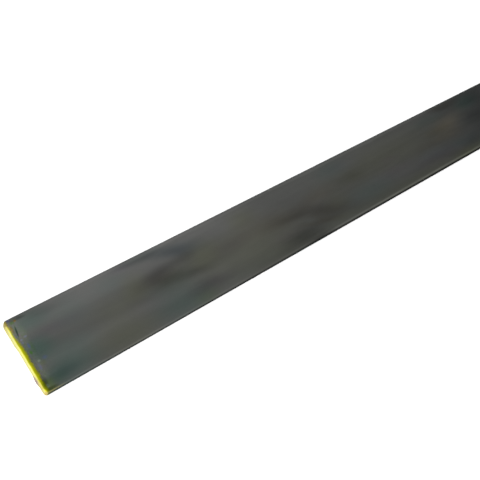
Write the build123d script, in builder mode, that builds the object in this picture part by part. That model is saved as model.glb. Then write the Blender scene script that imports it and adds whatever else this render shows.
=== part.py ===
from build123d import *
import os

# A hot-rolled flat steel bar, cut to a stock length in a bar shear. It is one piece of metal.
# Millimetres: X runs along the bar, Y across its width and Z up through its thickness.
# The origin lies under the middle of the bar, on the broad face that it rests on.

# The bar as it is ordered
bar_length = 1000.0
bar_width = 40.0
bar_thickness = 6.0

# The rolled section
corner_radius = 0.8  # the four long corners, rounded by the rolls
edge_crown = 0.25  # how far each narrow edge swells at its middle

# The sheared ends: the blade enters at one broad face, and the metal tears out at the other
rollover_length = 1.7  # how far along the bar the blade draws its face down
rollover_depth = 0.6  # how far that face has sunk where the cut begins
smooth_band = 1.7  # height of the clean cut under the rollover, square to the bar
tear_setback = 0.4  # how far the torn metal leans back where it leaves the bar

# The corners of the ends, seen from above, which the shear drags round
drag_radius = 2.0  # radius of the dragged corner
drag_offset = 0.15  # the rounded outline's distance off the bar's faces, so that it meets them at an angle

half_length = bar_length / 2
half_width = bar_width / 2
half_thickness = bar_thickness / 2
shoulder = half_width - edge_crown  # where the swell of a narrow edge begins
blade_entry = half_thickness - rollover_depth  # height above the middle of the bar
tear_start = blade_entry - smooth_band  # height above the middle of the bar

# The side view is drawn about the middle of the bar, because one end is the other turned half round.
# Its plane stands clear of one narrow edge, and the view is carried past the other.
side_plane = Plane(origin=(0, bar_width, half_thickness), x_dir=(1, 0, 0), z_dir=(0, -1, 0))

with BuildPart() as flat_bar:
    # The rolled section, with flat broad faces and swelling narrow edges
    with BuildSketch(Plane.YZ.offset(-half_length)) as rolled_section:
        with BuildLine():
            top = Line((-shoulder, bar_thickness), (shoulder, bar_thickness))
            right = ThreePointArc(top @ 1, (half_width, half_thickness), (shoulder, 0))
            bottom = Line(right @ 1, (-shoulder, 0))
            ThreePointArc(bottom @ 1, (-half_width, half_thickness), top @ 0)
        make_face()
        fillet(rolled_section.vertices(), radius=corner_radius)
    extrude(amount=bar_length)

    # The side view of both cuts: torn metal, smooth band and rollover, then the same turned half round
    with BuildSketch(side_plane) as side_view:
        with BuildLine() as half_outline:
            torn = Line((-half_length + tear_setback, -half_thickness), (-half_length, tear_start))
            smooth = Line(torn @ 1, (-half_length, blade_entry))
            rollover = EllipticalCenterArc(
                center=(-half_length + rollover_length, blade_entry),
                x_radius=rollover_length,
                y_radius=rollover_depth,
                start_angle=180,
                arc_size=-90,
            )
            Line(rollover @ 1, (half_length - tear_setback, half_thickness))
            add(half_outline.line.rotate(Axis.Z, 180))
        make_face()
    extrude(amount=2 * bar_width, mode=Mode.INTERSECT)

    # The plan of the dragged corners
    with BuildSketch() as plan:
        RectangleRounded(
            bar_length + 2 * drag_offset, bar_width + 2 * drag_offset, drag_radius
        )
    extrude(amount=bar_thickness, mode=Mode.INTERSECT)

flat_bar.part.label = "flat_bar"

os.makedirs("parts", exist_ok=True)
export_step(flat_bar.part, "parts/flat_bar.step")
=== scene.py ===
import logging
from dataclasses import dataclass
from enum import Enum
from math import atan2, cos, log as ln, pi, radians, sin, sqrt
from typing import Any, Mapping

import bmesh
import bpy
import numpy as np
from mathutils import Matrix, Vector


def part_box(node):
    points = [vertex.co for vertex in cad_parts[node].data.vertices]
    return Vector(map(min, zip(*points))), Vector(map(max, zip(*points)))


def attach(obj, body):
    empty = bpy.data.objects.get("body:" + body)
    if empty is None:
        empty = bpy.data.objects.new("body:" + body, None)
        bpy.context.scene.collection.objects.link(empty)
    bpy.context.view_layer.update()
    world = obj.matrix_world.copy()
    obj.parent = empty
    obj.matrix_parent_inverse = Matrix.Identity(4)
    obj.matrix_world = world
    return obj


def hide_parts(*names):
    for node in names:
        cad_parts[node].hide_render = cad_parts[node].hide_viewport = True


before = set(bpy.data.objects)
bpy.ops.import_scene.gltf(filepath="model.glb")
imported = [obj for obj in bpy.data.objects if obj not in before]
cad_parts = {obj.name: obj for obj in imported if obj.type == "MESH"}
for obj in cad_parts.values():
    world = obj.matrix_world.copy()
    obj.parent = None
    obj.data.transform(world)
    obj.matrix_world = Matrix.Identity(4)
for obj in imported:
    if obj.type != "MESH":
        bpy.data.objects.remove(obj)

log = logging.getLogger("flat_bar")

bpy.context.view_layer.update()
MM = 0.001  # metres in a millimetre
NODE = "flat_bar"
BAKE_MAP = "OFBake"

DOWN_THE_EDGE = 0.75  # how fast places are counted down a narrow edge, beside across a broad face

Array = np.ndarray
Colour = tuple[float, float, float]
Triple = tuple[float, float, float]
Span = tuple[float, float]


# Shader maths


class Value:
    """A socket that carries one number. Arithmetic on it adds Math nodes to its tree."""

    def __init__(self, shading: "Shading", socket: bpy.types.NodeSocket) -> None:
        """Wraps a socket.

        Args:
            shading: The tree that the socket belongs to.
            socket: The output that carries the number.
        """
        self.shading = shading
        self.socket = socket

    def math(self, operation: str, *terms: Any) -> "Value":
        """Adds one Math node.

        Args:
            operation: The Math node's operation.
            terms: Its inputs in order, as numbers or Values.

        Returns:
            The node's result.
        """
        node = self.shading.node("Math", {"operation": operation}, dict(enumerate(terms)))
        return Value(self.shading, node.outputs[0])

    def __add__(self, other: Any) -> "Value":
        """self + other."""
        return self.math("ADD", self, other)

    def __radd__(self, other: Any) -> "Value":
        """other + self."""
        return self.math("ADD", other, self)

    def __sub__(self, other: Any) -> "Value":
        """self - other."""
        return self.math("SUBTRACT", self, other)

    def __rsub__(self, other: Any) -> "Value":
        """other - self."""
        return self.math("SUBTRACT", other, self)

    def __mul__(self, other: Any) -> "Value":
        """self * other."""
        return self.math("MULTIPLY", self, other)

    def __rmul__(self, other: Any) -> "Value":
        """other * self."""
        return self.math("MULTIPLY", other, self)

    def __truediv__(self, other: Any) -> "Value":
        """self / other."""
        return self.math("DIVIDE", self, other)

    def __abs__(self) -> "Value":
        """The size of the number, without its sign."""
        return self.math("ABSOLUTE", self)

    def sine(self) -> "Value":
        """The sine of the number, in radians."""
        return self.math("SINE", self)

    def exponent(self) -> "Value":
        """The number e raised to this one."""
        return self.math("EXPONENT", self)

    def power(self, exponent: Any) -> "Value":
        """The number to the power of the exponent."""
        return self.math("POWER", self, exponent)

    def at_least(self, other: Any) -> "Value":
        """The larger of the two."""
        return self.math("MAXIMUM", self, other)

    def ramp(self, low: Any, high: Any) -> "Value":
        """A smooth step from 0 at low to 1 at high.

        Args:
            low: Where the step begins.
            high: Where it ends. Below low, the step goes down instead of up.

        Returns:
            The step, between 0 and 1.
        """
        inputs = {"Value": self, "From Min": low, "From Max": high}
        return self.shading.value("MapRange", "Result", {"interpolation_type": "SMOOTHSTEP"}, inputs)


class Shading:
    """Adds nodes to the tree of one material or world."""

    def __init__(self, owner: bpy.types.ID) -> None:
        """Empties the owner's tree.

        Args:
            owner: The material or world to dress.
        """
        owner.use_nodes = True
        self.tree = owner.node_tree
        self.tree.nodes.clear()

    def node(
        self,
        kind: str,
        settings: Mapping[str, Any] | None = None,
        inputs: Mapping[Any, Any] | None = None,
    ) -> bpy.types.Node:
        """Adds one node.

        Args:
            kind: The node's type, without the prefix ShaderNode.
            settings: The node's own properties, which are set first.
            inputs: What each input socket gets, by name or number: a constant, a socket or a Value.

        Returns:
            The new node.
        """
        made = self.tree.nodes.new("ShaderNode" + kind)
        for name, setting in (settings or {}).items():
            setattr(made, name, setting)
        for name, given in (inputs or {}).items():
            source = given.socket if isinstance(given, Value) else given
            if isinstance(source, bpy.types.NodeSocket):
                self.tree.links.new(source, made.inputs[name])
            elif isinstance(source, tuple) and made.inputs[name].type == "RGBA":
                made.inputs[name].default_value = (*source, 1.0)
            else:
                made.inputs[name].default_value = source
        return made

    def value(
        self, kind: str, output: str, settings: Mapping[str, Any], inputs: Mapping[Any, Any]
    ) -> Value:
        """Adds one node and wraps the number that it gives.

        Args:
            kind: The node's type, without the prefix ShaderNode.
            output: The name of the output that carries the number.
            settings: The node's own properties.
            inputs: What each input socket gets.

        Returns:
            The wrapped output.
        """
        return Value(self, self.node(kind, settings, inputs).outputs[output])

    def blend(self, share: Any, first: Any, second: Any) -> bpy.types.NodeSocket:
        """Mixes two colours.

        Args:
            share: How much of the second colour shows, from 0 to 1.
            first: The colour at 0.
            second: The colour at 1.

        Returns:
            The mixed colour's socket.
        """
        settings = {"data_type": "VECTOR", "clamp_factor": True}
        return self.node("Mix", settings, {0: share, 4: first, 5: second}).outputs[1]

    def scaled(self, vector: Any, factor: Any) -> bpy.types.NodeSocket:
        """A vector or colour times a number."""
        return self.node("VectorMath", {"operation": "SCALE"}, {0: vector, 3: factor}).outputs[0]

    def added(self, first: Any, second: Any) -> bpy.types.NodeSocket:
        """Two vectors added."""
        return self.node("VectorMath", {"operation": "ADD"}, {0: first, 1: second}).outputs[0]

    def times(self, first: Any, second: Any) -> bpy.types.NodeSocket:
        """Two vectors or colours multiplied, part by part."""
        return self.node("VectorMath", {"operation": "MULTIPLY"}, {0: first, 1: second}).outputs[0]

    def noise(self, place: Any, size: Triple, detail: float, shift: float) -> Value:
        """Soft random cloud, mostly between 0.25 and 0.75 and 0.5 on average.

        Args:
            place: The place in millimetres.
            size: The cloud's size along X, Y and Z, in millimetres.
            detail: How many finer clouds are added on top.
            shift: Moves the pattern, so that two clouds of one size differ.

        Returns:
            The cloud's value.
        """
        corner = (-shift * size[0], -shift * 0.7 * size[1], -shift * 0.3 * size[2])
        local = self.local(place, corner, size)
        return self.value("TexNoise", "Fac", {}, {"Vector": local, "Scale": 1.0, "Detail": detail})

    def local(self, place: Any, middle: Triple, size: Triple, turn: float = 0.0) -> bpy.types.NodeSocket:
        """The place counted from a middle, along turned directions and in units of a size.

        Args:
            place: The place.
            middle: Where the count starts.
            size: The unit along each direction.
            turn: How far the directions are turned about Z, in degrees.

        Returns:
            The counted place.
        """
        turned = (0.0, 0.0, radians(turn))
        inputs = {"Vector": place, "Location": middle, "Rotation": turned, "Scale": size}
        return self.node("Mapping", {"vector_type": "TEXTURE"}, inputs).outputs[0]

    def place_mm(self) -> bpy.types.NodeSocket:
        """The place on the object, in millimetres."""
        return self.scaled(self.node("TexCoord").outputs["Object"], 1 / MM)

    def parts(self, vector: Any) -> tuple[Value, Value, Value]:
        """A vector's X, Y and Z."""
        split = self.node("SeparateXYZ", {}, {0: vector})
        return tuple(Value(self, out) for out in split.outputs)

    def finish(self, shader: bpy.types.Node, kind: str = "OutputMaterial") -> None:
        """Links a shader to the tree's output."""
        self.node(kind, {}, {"Surface": shader.outputs[0]})


# The bar's shape


@dataclass(frozen=True)
class LatticeNoise:
    """Smooth random heights between -1 and 1 over a plane.

    Random heights stand at the whole-numbered points of a lattice that repeats. Between them the
    height is blended along each direction with the weight 3t² - 2t³.

    Attributes:
        seed: Picks the heights.
        size: How many heights the lattice has each way before it repeats.
    """

    seed: int
    size: int = 89

    def at(self, u: Array, v: Array) -> Array:
        """The heights at places given in lattice steps.

        Args:
            u: Place along the first direction.
            v: Place along the second direction.

        Returns:
            One height for each place.
        """
        heights = np.random.default_rng(self.seed).uniform(-1, 1, (self.size, self.size))
        row, column = np.floor(u).astype(int), np.floor(v).astype(int)
        s, t = u - row, v - column
        s, t = s * s * (3 - 2 * s), t * t * (3 - 2 * t)
        row, column = row % self.size, column % self.size
        next_row, next_column = (row + 1) % self.size, (column + 1) % self.size
        near = heights[row, column] * (1 - t) + heights[row, next_column] * t
        far = heights[next_row, column] * (1 - t) + heights[next_row, next_column] * t
        return near * (1 - s) + far * s


@dataclass(frozen=True)
class RolledSection:
    """The outline of the bar as it leaves the rolls, Y across and Z up, in millimetres.

    Attributes:
        width: Across the broad faces, over the swell of the narrow edges.
        thickness: Between the broad faces.
        corner_radius: Of the four long corners.
        edge_crown: How far a narrow edge swells at its middle.
        crown_steps: Points on half a narrow edge.
        corner_steps: Points on a corner.
        face_steps: Points on half a broad face.
    """

    width: float
    thickness: float
    corner_radius: float = 0.8
    edge_crown: float = 0.25
    crown_steps: int = 6
    corner_steps: int = 7
    face_steps: int = 46

    def loop(self) -> Array:
        """The closed outline, from the middle of the narrow edge at +Y over the top face and back below.

        The narrow edge is an arc of radius (crown² + (thickness / 2)²) / (2 crown). The corner is an arc
        that touches it from inside, and the broad face is straight. One quarter is worked out and
        mirrored, so point j and point -j stand one above the other.

        Returns:
            The points, as rows of Y and Z.
        """
        half = self.thickness / 2
        swell = (self.edge_crown**2 + half**2) / (2 * self.edge_crown)
        centre, rise = self.width / 2 - swell, half - self.corner_radius
        corner_y = centre + sqrt((swell - self.corner_radius) ** 2 - rise**2)
        touch = atan2(rise, corner_y - centre)
        crown = np.linspace(0, touch, self.crown_steps, endpoint=False)
        corner = np.linspace(touch, pi / 2, self.corner_steps, endpoint=False)
        face = np.linspace(corner_y, 0, self.face_steps + 1)
        y = np.r_[centre + swell * np.cos(crown), corner_y + self.corner_radius * np.cos(corner), face]
        corner_z = rise + self.corner_radius * np.sin(corner)
        z = np.r_[swell * np.sin(crown), corner_z, np.full(len(face), half)]
        top_y, top_z = np.r_[y, -y[-2::-1]], np.r_[z, z[-2::-1]]
        loop_y, loop_z = np.r_[top_y, top_y[-2:0:-1]], np.r_[top_z, -top_z[-2:0:-1]]
        return np.stack([loop_y, loop_z + half], 1)


@dataclass(frozen=True)
class ShearedEnd:
    """One sheared end of the bar, with the blade coming from above, in millimetres.

    Attributes:
        section: The rolled outline that was cut.
        seed: Picks this cut's random roughness.
        rollover_length: How far along the bar the top face is drawn down.
        rollover_depth: How far it has sunk at the cut.
        smooth_band: Height of the clean cut under the rollover.
        tear_setback: How far the torn metal leans back at the bottom.
        tear_wander: How far the start of the tear wanders up and down.
        wander_step: How often it turns, across the bar.
        drag_radius: Of the corners of the end, seen from above.
        drag_offset: How far the rounded outline stands off the bar's faces.
        fade: Length along the bar over which the lean of the torn face dies away.
        burr_place: Where across the bar a lip of torn metal still stands out.
        burr_width: Half its width.
        square_from: Past this place across the bar, the torn face stands nearly square.
        cap_rings: Rings of points on the cut face, from its middle line to its rim.
        rollover_rings: Rings on the rollover.
        near_rings: Rings from the rollover to near_length.
        near_length: Where the closely spaced rings end.
        ring_step: Spacing of the rings along the rest of the bar.
    """

    section: RolledSection
    seed: int
    rollover_length: float = 1.7
    rollover_depth: float = 0.6
    smooth_band: float = 1.7
    tear_setback: float = 0.4
    tear_wander: float = 0.35
    wander_step: float = 3.1
    drag_radius: float = 2.0
    drag_offset: float = 0.15
    fade: float = 4.0
    burr_place: float = -11.6
    burr_width: float = 2.4
    square_from: float = 5.0
    cap_rings: int = 19
    rollover_rings: int = 12
    near_rings: int = 22
    near_length: float = 26.0
    ring_step: float = 4.0

    def sink(self, along: Array) -> Array:
        """How far the top face has sunk: a quarter ellipse, rollover_length by rollover_depth."""
        left = np.clip(1 - along / self.rollover_length, 0, 1)
        return self.rollover_depth * (1 - np.sqrt(1 - left**2))

    def half_width(self, along: Array) -> Array:
        """Half the width, where a circle of drag_radius, drag_offset outside both faces, cuts the corner.

        At a run back from the circle's middle, the outline stands in by drag_radius - drag_offset less
        the root of drag_radius² - run².

        Args:
            along: Distances from the end.

        Returns:
            Half the width at each distance.
        """
        run = np.clip(self.drag_radius - self.drag_offset - along, 0, None)
        inset = self.drag_offset - self.drag_radius + np.sqrt(self.drag_radius**2 - run**2)
        return self.section.width / 2 + np.minimum(inset, 0)

    def lean(self, y: Array, z: Array) -> Array:
        """How far back the cut face lies.

        It is 0 on the smooth band and grows evenly down the tear. On the burr it is less by e to the
        minus fourth power of the distance in burr widths, and past square_from it falls to a fifth
        over 3 mm.

        Args:
            y: Places across the bar.
            z: Heights.

        Returns:
            The distance for each place.
        """
        start = self.section.thickness - self.rollover_depth - self.smooth_band
        start = start + self.tear_wander * LatticeNoise(self.seed).at(y / self.wander_step, 0 * y + 0.5)
        burr = np.exp(-(((y - self.burr_place) / self.burr_width) ** 4))
        square = np.clip((y - self.square_from) / 3, 0, 1)
        return self.tear_setback * np.clip(1 - z / start, 0, 1) * (1 - 0.95 * burr) * (1 - 0.8 * square)

    def half_bar(self, length: float) -> Array:
        """The surface from the middle line of the cut face to the middle of the bar.

        Each ring is the rolled outline. On the cut face it shrinks evenly onto the face's middle line.
        Along the bar its upper half sinks with the rollover and its width follows the dragged corners.
        The rings stand closest at the end, at even steps round the rollover's quarter ellipse and then
        at even steps to the power of 1.5.

        Args:
            length: The whole bar's length.

        Returns:
            Places by ring and point of the outline, with the cut face at X = -length / 2.
        """
        near = np.linspace(0, 1, self.near_rings + 1)[1:] ** 1.5
        steps = round((length / 2 - self.near_length) / self.ring_step)
        rest = np.linspace(self.near_length, length / 2, steps + 1)[1:]
        quarter = np.linspace(0, pi / 2, self.rollover_rings + 1)
        along = np.r_[
            self.rollover_length * (1 - np.cos(quarter)),
            self.rollover_length + (self.near_length - self.rollover_length) * near,
            rest,
        ][:, None]
        loop = self.section.loop()
        y = loop[:, 0] * self.half_width(along) / (self.section.width / 2)
        lift = np.clip(2 * loop[:, 1] / self.section.thickness - 1, 0, 1)
        z = loop[:, 1] - self.sink(along) * lift
        x = along + self.lean(y, z) * np.clip(1 - along / self.fade, 0, 1)
        middle = (self.section.thickness - self.rollover_depth) / 2
        reach = self.half_width(np.zeros(1)) - middle
        share = np.linspace(0, 1, self.cap_rings, endpoint=False)[:, None]
        cap_y = np.clip(y[0], -reach, reach) * (1 - share) + y[0] * share
        cap_z = middle * (1 - share) + z[0] * share
        cap = np.stack([self.lean(cap_y, cap_z), cap_y, cap_z], 2)
        surface = np.concatenate([cap, np.stack([x, y, z], 2)])
        surface[:, :, 0] -= length / 2
        return surface


@dataclass(frozen=True)
class Mark:
    """One kind of unevenness in the bar's surface, in millimetres.

    Attributes:
        depth: Its mean depth. It goes from 0 to twice this.
        length: Its size along the first direction.
        spread: Its size along the second one.
    """

    depth: float
    length: float
    spread: float = 1.0

    def at(self, seed: int, u: Array, v: Array, shift: Any = 0.0) -> Array:
        """The mark's depth at places.

        Args:
            seed: Picks the pattern.
            u: Places along the first direction.
            v: Places along the second one.
            shift: Moves the pattern along the second one, so that two faces differ.

        Returns:
            The mean depth times 1 plus a lattice noise of u / length and v / spread + shift.
        """
        return self.depth * (1 + LatticeNoise(seed).at(u / self.length, v / self.spread + shift))


@dataclass(frozen=True)
class Relief:
    """The marks of rolling and of the shear on the bar.

    Attributes:
        waves: Long shallow waves on the broad faces.
        edge_waves: Longer ones along the narrow edges.
        corners: Where the long corners are flatter or rounder.
        scores: Fine upright scores on the clean band of a cut.
        grains: Small grains of torn metal.
        lumps: Larger lumps of it.
        ground: How far the skin lies inside the CAD solid before any mark, in millimetres.
    """

    waves: Mark = Mark(0.011, 37.0, 8.3)
    edge_waves: Mark = Mark(0.022, 61.0)
    corners: Mark = Mark(0.028, 9.5)
    scores: Mark = Mark(0.012, 0.33, 9.0)
    grains: Mark = Mark(0.035, 0.55, 0.42)
    lumps: Mark = Mark(0.045, 1.9, 1.1)
    ground: float = 0.01


@dataclass(frozen=True)
class BakeSheet:
    """Where each part of the bar's skin lies on its flat map, in shares of the map's side.

    The first stretch of the bar at the painted end and both cut faces are drawn larger than the
    rest, because their detail is finer. The rest is laid out as strips, one above another.

    Attributes:
        close_length: The stretch that is drawn larger, in millimetres.
        close_width: The map's share across that stretch.
        close_height: The share round the bar there.
        strips: How many strips the rest makes.
        gap: The empty border between two parts.
        cap_scale: The share for one millimetre on the cut faces.
    """

    close_length: float = 14.0
    close_width: float = 0.115
    close_height: float = 0.70
    strips: int = 3
    gap: float = 0.008
    cap_scale: float = 0.0062


@dataclass(frozen=True)
class BarSkin:
    """The bar's outer surface as one closed mesh that stands for the CAD solid.

    Attributes:
        section: The rolled outline.
        length: The bar's length in millimetres.
        painted_end: The sheared end at -X.
        plain_end: The sheared end at +X, which is the same cut turned half round.
        marks: The marks in its surface.
        sheet: The layout of the flat map.
    """

    section: RolledSection
    length: float
    painted_end: ShearedEnd
    plain_end: ShearedEnd
    marks: Relief = Relief()
    sheet: BakeSheet = BakeSheet()

    def surface(self) -> Array:
        """Places on the ideal bar by ring and point of the outline, from one cut face to the other.

        The second half is a first half turned about the bar's middle across its width, X to -X and
        Z to thickness - Z, with its rings in reverse and each point of the outline swapped for the
        one above or below it.

        Returns:
            An array of rings by points by X, Y and Z, in millimetres.
        """
        first = self.painted_end.half_bar(self.length)
        second = self.plain_end.half_bar(self.length)[-2::-1]
        second = second[:, -np.arange(second.shape[1]) % second.shape[1]]
        second = second * (-1, 1, -1) + (0, 0, self.section.thickness)
        return np.concatenate([first, second])

    def flat_map(self, surface: Array) -> Array:
        """Places on the flat map for each corner of each face between two rings and two points.

        Args:
            surface: The places from surface().

        Returns:
            An array of rings - 1 by points by 4 corners by U and V.
        """
        sheet, caps = self.sheet, self.painted_end.cap_rings
        rings = len(surface)
        closed = np.concatenate([surface, surface[:, :1]], 1)
        middle = closed[rings // 2]
        girth = np.r_[0, np.cumsum(np.linalg.norm(np.diff(middle[:, 1:], axis=0), axis=1))]
        round_bar = np.broadcast_to(girth / girth[-1], closed.shape[:2])
        from_end = np.median(closed[:, :, 0], axis=1)[:, None] + self.length / 2
        along = np.broadcast_to(from_end, closed.shape[:2])

        def corners(u: Array, v: Array) -> Array:
            """The four corners of each face, in the order that its vertices have."""
            both = np.stack([u, v], 2)
            return np.stack([both[:-1, :-1], both[1:, :-1], both[1:, 1:], both[:-1, 1:]], 2)

        close = corners(
            sheet.gap + along / sheet.close_length * sheet.close_width,
            sheet.gap + round_bar * sheet.close_height,
        )
        strip_length = (self.length - sheet.close_length) / sheet.strips
        strip_height = (1 - sheet.gap) / sheet.strips - sheet.gap
        start = sheet.close_width + 3 * sheet.gap
        face_along = (along[:-1, :-1] + along[1:, :-1]) / 2
        strip = np.clip((face_along - sheet.close_length) // strip_length, 0, sheet.strips - 1)[:, :, None]
        base = corners((along - sheet.close_length) / strip_length, round_bar * strip_height)
        strips = np.stack(
            [
                start + (base[..., 0] - strip) * (1 - start - sheet.gap),
                sheet.gap + strip * (strip_height + sheet.gap) + base[..., 1],
            ],
            3,
        )
        chart = np.where(face_along[..., None, None] < sheet.close_length, close, strips)
        cap_v = sheet.close_height + 3 * sheet.gap + self.section.width / 2 * sheet.cap_scale
        cap_u = 2 * sheet.gap + closed[:, :, 2] * sheet.cap_scale
        cap = corners(cap_u, cap_v + closed[:, :, 1] * sheet.cap_scale)
        chart[:caps] = cap[:caps]
        chart[-caps:] = cap[-caps:] + (self.section.thickness * sheet.cap_scale + 2 * sheet.gap, 0)
        return chart

    def relief(self, place: Array) -> Array:
        """How deep the skin lies under the ideal bar, for the marks of rolling and of the shear.

        Rolling leaves long shallow waves on the faces, deeper ones along the narrow edges, and corners
        that are a little flatter or rounder along the bar. The blade leaves fine upright scores, and
        the torn metal below is rough at two sizes.

        Args:
            place: Places on the bar, as rows of X, Y and Z.

        Returns:
            The depth of each place, 0 or more, in millimetres.
        """
        marks, (x, y, z) = self.marks, place.T
        half_width, thick = self.section.width / 2, self.section.thickness
        upper = z > thick / 2
        side = np.where(upper, 40.0, 3.0) + np.where(y > 0, 11.0, 0.0)
        waves = marks.waves.at(5, x, y, side)
        outer = np.clip((np.abs(y) - half_width + 1.1) / 0.9, 0, 1)
        edges = marks.edge_waves.at(7, x, 0 * y, side) * outer
        corner = np.clip(np.abs(z - thick / 2) / (thick / 2) - 0.72, 0, 1) / 0.28 * outer
        along_corner = marks.corners.at(11, x, 0 * y, side) * corner
        depth = marks.ground + waves + edges + along_corner
        for end, sign in ((self.painted_end, -1), (self.plain_end, 1)):
            inside = self.length / 2 - sign * x
            height = z if sign < 0 else thick - z
            lean = end.lean(y, height)
            tear = lean / end.tear_setback
            cut = np.clip(1 - (inside - lean) / 0.12, 0, 1)
            scores = marks.scores.at(end.seed + 1, y, height)
            rough = marks.grains.at(end.seed + 2, y, height) + marks.lumps.at(end.seed + 3, y, height)
            torn = np.clip(tear * 3, 0, 1)
            depth = depth + cut * (scores * (1 - torn) + rough * torn)
        return depth

    def build(self) -> bpy.types.Object:
        """Makes the mesh, welds its seams and middle lines, and sinks it by its relief.

        Returns:
            The new object, at the origin, in metres.
        """
        surface = self.surface()
        rings, points = surface.shape[:2]
        ring, point = np.meshgrid(np.arange(rings - 1), np.arange(points), indexing="ij")
        after = (point + 1) % points
        corners = (
            ring * points + point,
            (ring + 1) * points + point,
            (ring + 1) * points + after,
            ring * points + after,
        )
        faces = np.stack(corners, 2)
        mesh = bpy.data.meshes.new("flat_bar_skin")
        mesh.from_pydata(surface.reshape(-1, 3), [], faces.reshape(-1, 4))
        chart = mesh.uv_layers.new(name=BAKE_MAP)
        chart.uv.foreach_set("vector", self.flat_map(surface).astype(np.float32).ravel())
        welded = bmesh.new()
        welded.from_mesh(mesh)
        bmesh.ops.remove_doubles(welded, verts=welded.verts, dist=0.004)
        bmesh.ops.recalc_face_normals(welded, faces=welded.faces)
        welded.to_mesh(mesh)
        welded.free()
        place = np.empty(len(mesh.vertices) * 3)
        mesh.vertices.foreach_get("co", place)
        normal = np.empty(len(mesh.vertices) * 3)
        mesh.vertex_normals.foreach_get("vector", normal)
        place, normal = place.reshape(-1, 3), normal.reshape(-1, 3)
        sunk = (place - normal * self.relief(place)[:, None]) * MM
        mesh.vertices.foreach_set("co", sunk.ravel())
        mesh.shade_smooth()
        mesh.update()
        skin = bpy.data.objects.new("flat_bar_skin", mesh)
        bpy.context.scene.collection.objects.link(skin)
        return skin


# The bar's finish


class Tint(Enum):
    """Colour casts of mill scale, as what each multiplies the plain scale's colour by."""

    PLAIN = (1.0, 1.0, 1.0)
    TEAL = (0.78, 1.05, 0.98)
    SLATE = (0.90, 1.00, 1.08)
    BROWN = (1.10, 0.98, 0.84)
    OLIVE = (1.00, 1.02, 0.78)
    VIOLET = (1.03, 0.98, 1.06)
    BLUE = (0.92, 0.94, 1.45)
    LILAC = (1.08, 0.92, 1.16)
    GREEN = (0.84, 1.14, 0.62)
    RUST = (1.35, 0.92, 0.50)

    def change(self, cast: float = 1.0, shade: float = 0.0) -> Colour:
        """What the tint adds to a drawing of clouds.

        Args:
            cast: How strong it is.
            shade: How much lighter the cloud is besides.

        Returns:
            The change in lightness, then in the logarithms of red over green and of blue over green.
        """
        red, green, blue = self.value
        return shade + cast * (green - 1), cast * ln(red / green), cast * ln(blue / green)


@dataclass(frozen=True)
class Cloud:
    """One soft patch in the scale on the top face, in millimetres and degrees.

    Attributes:
        x: Its middle along the bar.
        y: Its middle across the bar.
        reach: Half its length.
        spread: Half its width.
        shade: How much lighter it is, or darker if below 0.
        tint: Its colour cast.
        cast: How strong the cast is.
        edge: How sharply it ends. At 1 it fades from its middle on, and at 3 it is nearly flat inside.
        tilt: How far it is turned from the bar's direction.
    """

    x: float
    y: float
    reach: float
    spread: float
    shade: float = 0.0
    tint: Tint = Tint.PLAIN
    cast: float = 0.0
    edge: float = 1.0
    tilt: float = 0.0

    def weight(self, shading: Shading, place: Any) -> Value:
        """How much of the patch shows: 1 in its middle, 0.4 at its half length or width, and soon 0.

        Args:
            shading: The material's tree.
            place: The place in millimetres, with 0 for its height.

        Returns:
            A smooth step down from (1 - 1 / edge) to (1 + 0.8 / edge) of the patch's own radius.
        """
        outer = 1.8  # where the gradient ends, in the patch's own radii
        size = (self.reach * outer, self.spread * outer, 1.0)
        local = shading.local(place, (self.x, self.y, 0.0), size, self.tilt)
        inward = shading.value("TexGradient", "Fac", {"gradient_type": "SPHERICAL"}, {"Vector": local})
        return inward.ramp(1 - (1 + 0.8 / self.edge) / outer, 1 - (1 - 1 / self.edge) / outer)
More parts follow.
